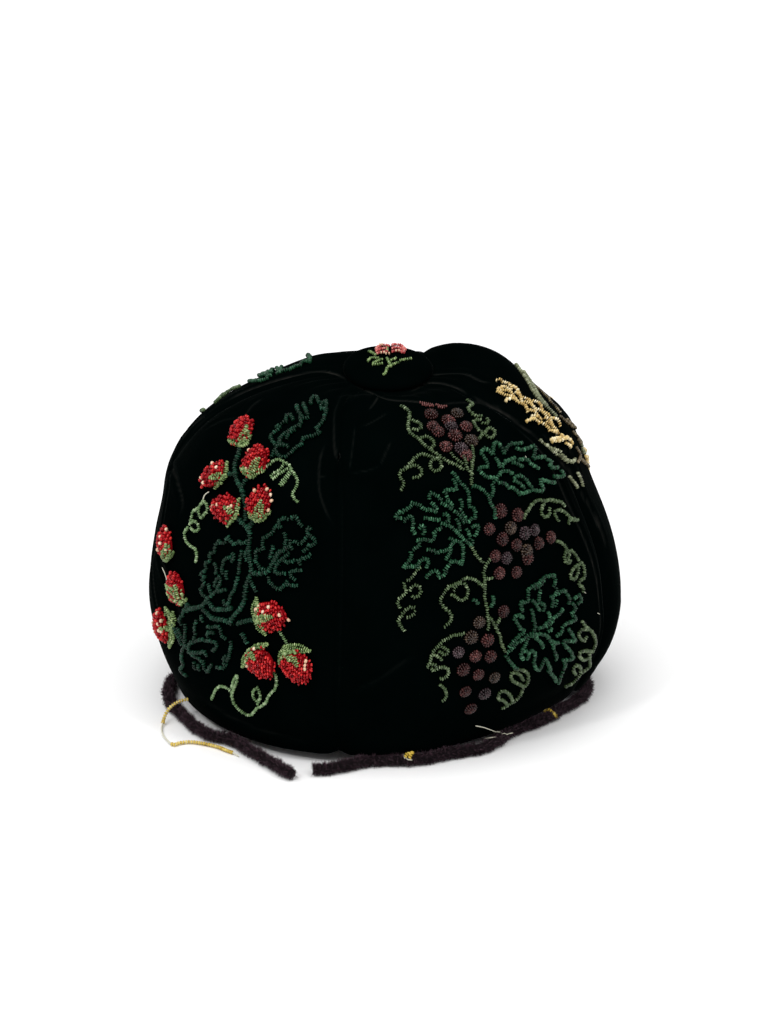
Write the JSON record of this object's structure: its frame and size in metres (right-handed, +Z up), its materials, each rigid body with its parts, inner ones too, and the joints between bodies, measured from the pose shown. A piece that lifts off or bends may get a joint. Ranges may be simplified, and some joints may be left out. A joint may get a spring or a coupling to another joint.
{
  "type": "beaded velvet smoking cap",
  "caption": "Soft domed cap of black velvet gores gathered under a button, worked in raised glass beads, with a chenille cord edging that has come partly loose.",
  "frame": {"origin": "on the surface that the cap rests on, under the middle of its bounding box", "axes": "+Z up through the crown, +X to the viewer's right and the cap's longest way, -Y towards the front seam side"},
  "size_m": [0.206, 0.1807, 0.1556],
  "materials": {
    "black_velvet": "deep pile",
    "chenille": "tufted pile",
    "yellow_beads": "gloss",
    "berry_beads": "gloss"
  },
  "bodies": {
    "root": {"gore_strawberry": "black_velvet", "gore_grape": "black_velvet", "gore_wheat": "black_velvet", "gore_vine": "black_velvet", "crown_button": "black_velvet", "edge_cord": "chenille", "loose_cord": "chenille", "bead_string": "yellow_beads", "strawberry_1": "berry_beads", "strawberry_2": "berry_beads", "strawberry_3": "berry_beads", "strawberry_4": "berry_beads", "strawberry_5": "berry_beads", "strawberry_6": "berry_beads", "strawberry_7": "berry_beads", "strawberry_8": "berry_beads", "strawberry_9": "berry_beads", "strawberry_10": "berry_beads", "strawberry_11": "berry_beads"}
  },
  "joints": []
}
